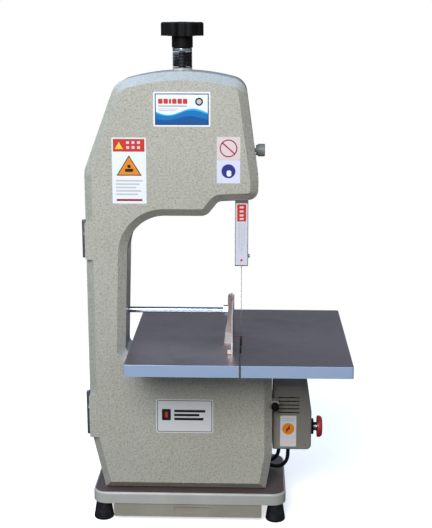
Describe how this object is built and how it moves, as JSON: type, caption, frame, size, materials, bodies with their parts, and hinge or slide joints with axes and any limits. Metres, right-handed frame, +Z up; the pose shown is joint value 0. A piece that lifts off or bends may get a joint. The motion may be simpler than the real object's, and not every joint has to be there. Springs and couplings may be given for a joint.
{
  "type": "bone saw",
  "caption": "Bench bone saw: C-shaped housing with blade loop on two wheels, steel table, sliding fence, blade guard, tension knob, motor and drawer.",
  "frame": {"origin": "on the floor, under the middle of the machine's overall box", "axes": "+Z up, -Y towards the operator, +X to the operator's right"},
  "size_m": [0.527, 0.42, 1.004],
  "materials": {
    "hammer_grey": "hammered grey stove enamel",
    "base_grey": "smooth grey enamel",
    "drawer_beige": "powder coat",
    "box_grey": "dark grey powder coat",
    "motor_paint": "gloss enamel",
    "stainless": "ground sheet",
    "bright_steel": "machined",
    "zinc": "zinc plated",
    "chrome": "polished",
    "blade_steel": "ground",
    "cast_wheel": "machined casting",
    "bronze": "turned",
    "white_nylon": "machined nylon",
    "black_plastic": "moulded",
    "grey_knob": "moulded",
    "red_plastic": "glossy",
    "black_rubber": "moulded rubber",
    "cable_black": "extruded sheath",
    "motor_iron": "laminated",
    "capacitor_shell": "drawn can"
  },
  "bodies": {
    "root": {"base_tray": "base_grey", "rubber_feet": "black_rubber", "base_bolts": "zinc", "drawer_rails": "drawer_beige", "rear_frame": "hammer_grey", "frame_hinges": "bright_steel", "hinge_pins": "bright_steel", "table": "stainless", "table_frame": "stainless", "table_bolts": "zinc", "saw_blade": "blade_steel", "lower_blade_guide": "white_nylon", "blade_scrapers": "white_nylon", "tension_rails": "bright_steel", "tension_spring": "black_plastic", "tension_ring": "chrome", "guard_clamp_block": "bright_steel", "fence_clamp_block": "bright_steel", "rod_bushes": "bronze", "motor_flange": "motor_paint", "motor_housing": "motor_paint", "stator": "motor_iron", "motor_bearings": "bright_steel", "motor_bolts": "zinc", "fan_cover": "motor_paint", "terminal_box": "box_grey", "control_box": "box_grey", "box_cover": "box_grey", "estop_collar": "black_plastic", "contact_block": "black_plastic", "capacitor": "capacitor_shell", "cable_glands": "black_plastic", "motor_lead": "cable_black", "start_lead": "cable_black"},
    "door": {"door_shell": "hammer_grey", "door_hinges": "bright_steel", "door_seal": "black_rubber"},
    "door_lock": {"door_knob": "black_plastic"},
    "drive": {"lower_wheel": "cast_wheel", "wheel_nut": "bright_steel", "motor_shaft": "bright_steel", "motor_fan": "black_plastic"},
    "tension_slide": {"slide_block": "bright_steel", "upper_axle": "bright_steel", "axle_nut": "bright_steel"},
    "idler": {"upper_wheel": "cast_wheel", "upper_bearings": "bright_steel"},
    "tension_hand": {"tension_knob": "black_plastic", "tension_screw": "bright_steel"},
    "guard": {"guard_channel": "stainless", "guide_bar": "bright_steel", "upper_blade_guide": "white_nylon"},
    "guard_lock": {"guard_lock_knob": "grey_knob"},
    "fence": {"fence_plate": "stainless", "fence_rod": "chrome", "fence_nut": "chrome"},
    "fence_lock": {"fence_lock_knob": "black_plastic"},
    "estop": {"estop_head": "red_plastic", "estop_stem": "chrome"},
    "drawer": {"drawer": "drawer_beige"}
  },
  "joints": [
    {"name": "door_hinge", "type": "hinge", "parent": "root", "child": "door", "pos_m": [-0.2595, -0.04125, 0.4], "axis": [0, 0, -1], "range_deg": [0, 110]},
    {"name": "door_lock_turn", "type": "hinge", "parent": "door", "child": "door_lock", "pos_m": [0.1215, -0.055, 0.244], "axis": [0, -1, 0], "range_deg": [0, 180]},
    {"name": "drive_spin", "type": "hinge", "parent": "root", "child": "drive", "pos_m": [-0.0692, -0.019, 0.216], "axis": [0, 1, 0], "continuous": true},
    {"name": "tension_travel", "type": "slide", "parent": "root", "child": "tension_slide", "axis": [0, 0, 1], "range_m": [-0.01, 0]},
    {"name": "idler_spin", "type": "hinge", "parent": "tension_slide", "child": "idler", "pos_m": [-0.0692, -0.019, 0.776], "axis": [0, 1, 0], "continuous": true},
    {"name": "tension_turn", "type": "hinge", "parent": "root", "child": "tension_hand", "pos_m": [-0.066, 0.01, 0.96], "axis": [0, 0, 1], "range_deg": [0, 1800]},
    {"name": "guard_slide", "type": "slide", "parent": "root", "child": "guard", "axis": [0, 0, 1], "range_m": [-0.06, 0.05]},
    {"name": "guard_lock_turn", "type": "hinge", "parent": "root", "child": "guard_lock", "pos_m": [0.085, 0.005, 0.757], "axis": [1, 0, 0], "range_deg": [0, 180]},
    {"name": "fence_slide", "type": "slide", "parent": "root", "child": "fence", "axis": [1, 0, 0], "range_m": [-0.15, 0.008]},
    {"name": "fence_lock_turn", "type": "hinge", "parent": "root", "child": "fence_lock", "pos_m": [-0.214, 0.04, 0.43], "axis": [0, 1, 0], "range_deg": [0, 180]},
    {"name": "estop_press", "type": "slide", "parent": "root", "child": "estop", "axis": [-1, 0, 0], "range_m": [0, 0.005], "stiffness_N_per_m": 900, "springref_m": -0.002},
    {"name": "drawer_slide", "type": "slide", "parent": "root", "child": "drawer", "axis": [0, -1, 0], "range_m": [0, 0.15]}
  ],
  "couplings": [
    {"joint": "idler_spin", "follows": "drive_spin", "ratio": 1},
    {"joint": "tension_turn", "follows": "tension_travel", "rad_per_m": -3141.5}
  ]
}
